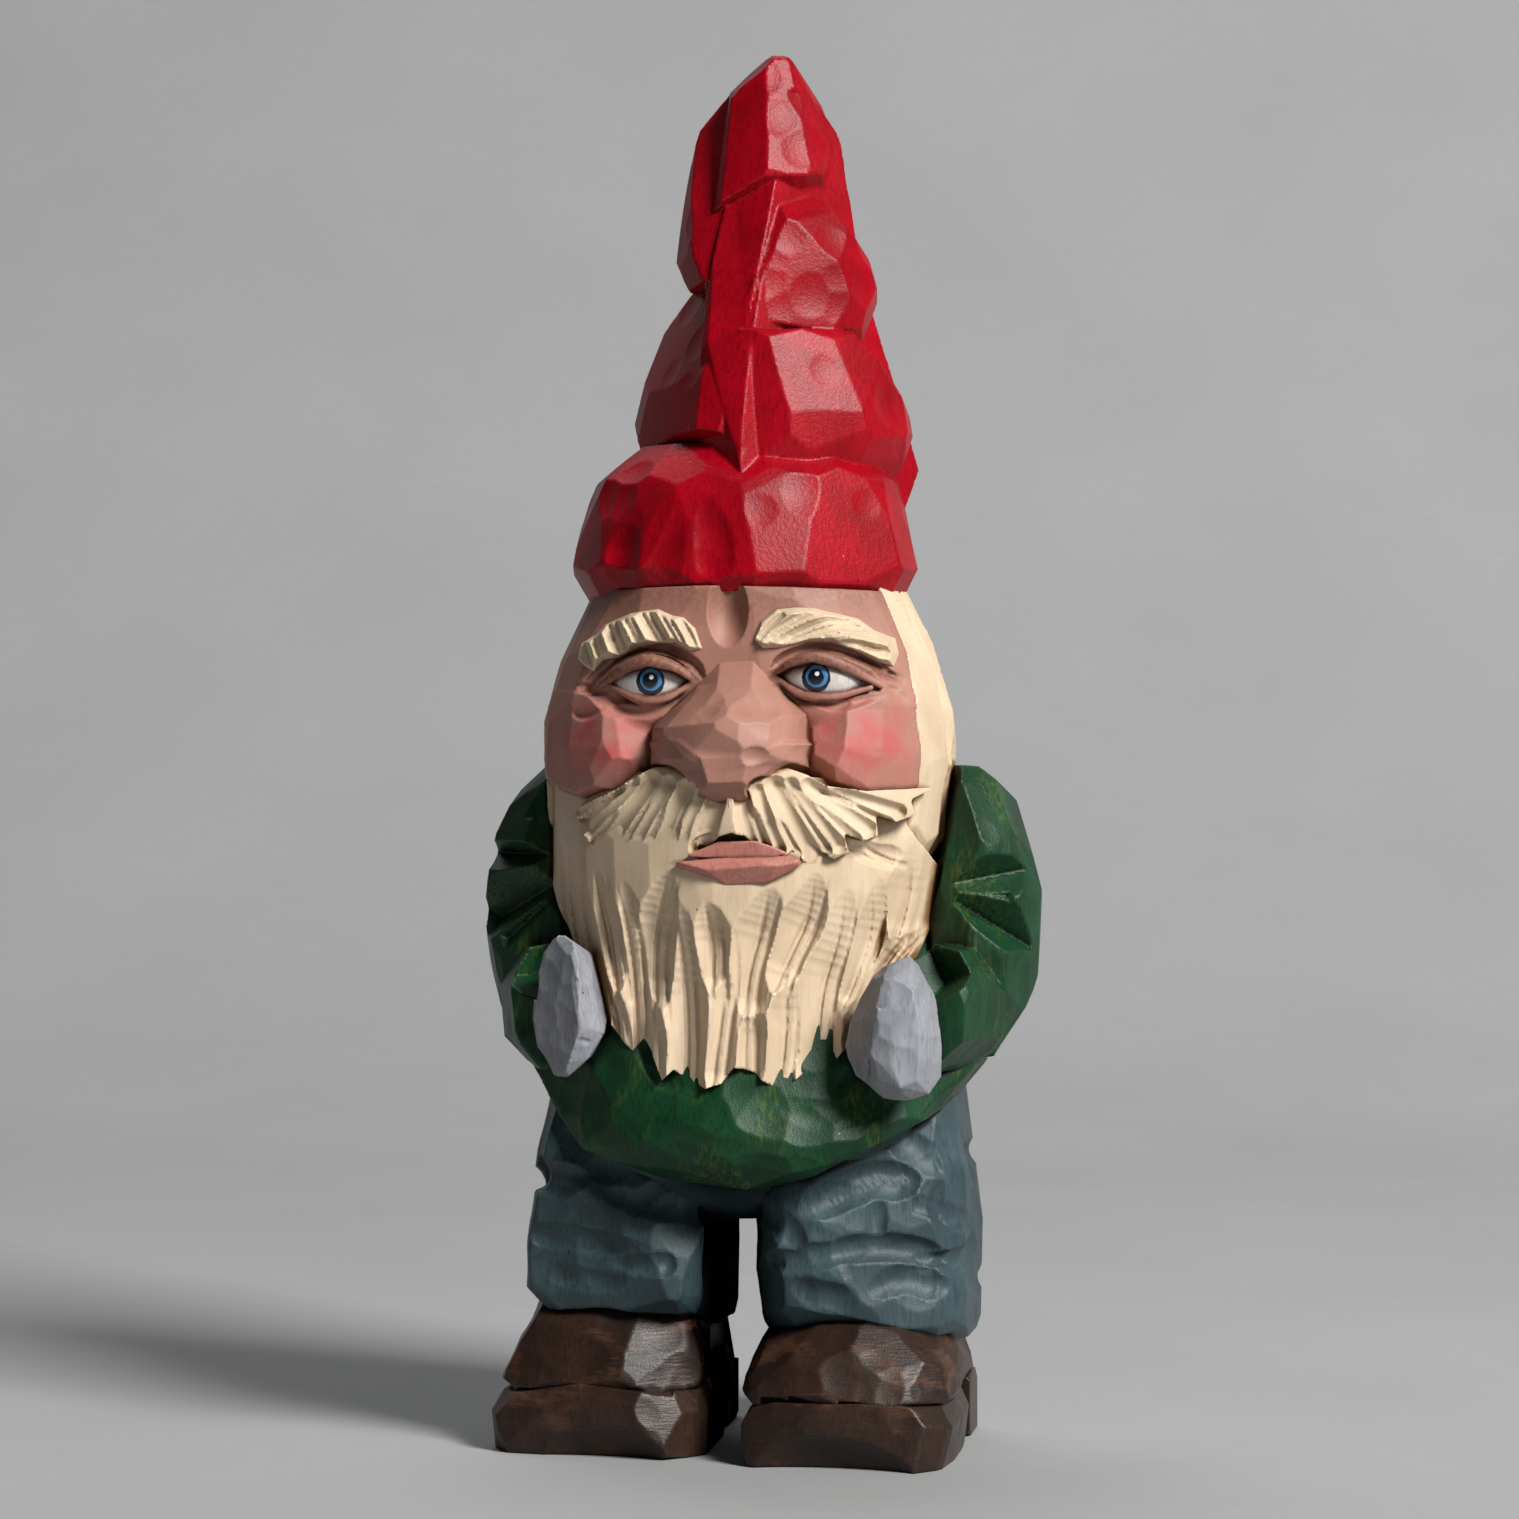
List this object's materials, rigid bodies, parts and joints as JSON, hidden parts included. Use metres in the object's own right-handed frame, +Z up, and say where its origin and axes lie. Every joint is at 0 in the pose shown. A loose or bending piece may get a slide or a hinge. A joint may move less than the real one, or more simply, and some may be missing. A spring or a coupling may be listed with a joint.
{
  "type": "carved gnome figurine",
  "caption": "Free-standing hand-carved wooden gnome figurine with a tall folded red hat, full beard, green sweater, grey mittens, blue-grey trousers and brown boots.",
  "frame": {"origin": "centre of the figure's footprint box, on the surface that the boots stand on", "axes": "+Z up; the face looks along -Y; +X is the figure's own left, so a viewer in front sees it on the right"},
  "size_m": [0.059, 0.045, 0.148],
  "materials": {
    "hat_red": "glossy red acrylic paint over knife facets",
    "skin": "satin pink-tan acrylic paint, rosy on the cheeks",
    "lip_rose": "satin rose acrylic paint",
    "eye_white": "gloss off-white paint with a painted blue iris",
    "hair_cream": "satin cream acrylic paint with a brown wash in the cuts",
    "sweater_green": "satin dark green acrylic paint",
    "mitten_grey": "matt light grey acrylic paint",
    "trouser_blue": "glossy blue-grey acrylic paint",
    "boot_brown": "glossy dark brown stain that lets the wood show"
  },
  "bodies": {
    "root": {"beard": "hair_cream", "face": "skin", "hair": "hair_cream", "hat": "hat_red", "left_boot_heel": "boot_brown", "left_boot_sole": "boot_brown", "left_boot_upper": "boot_brown", "left_eye": "eye_white", "left_eyebrow": "hair_cream", "left_mitten": "mitten_grey", "left_moustache": "hair_cream", "left_sleeve": "sweater_green", "left_trouser_leg": "trouser_blue", "lower_lip": "lip_rose", "nose": "skin", "right_boot_heel": "boot_brown", "right_boot_sole": "boot_brown", "right_boot_upper": "boot_brown", "right_eye": "eye_white", "right_eyebrow": "hair_cream", "right_mitten": "mitten_grey", "right_moustache": "hair_cream", "right_sleeve": "sweater_green", "right_trouser_leg": "trouser_blue", "sweater": "sweater_green", "trouser_seat": "trouser_blue", "upper_lip": "lip_rose"}
  },
  "joints": []
}
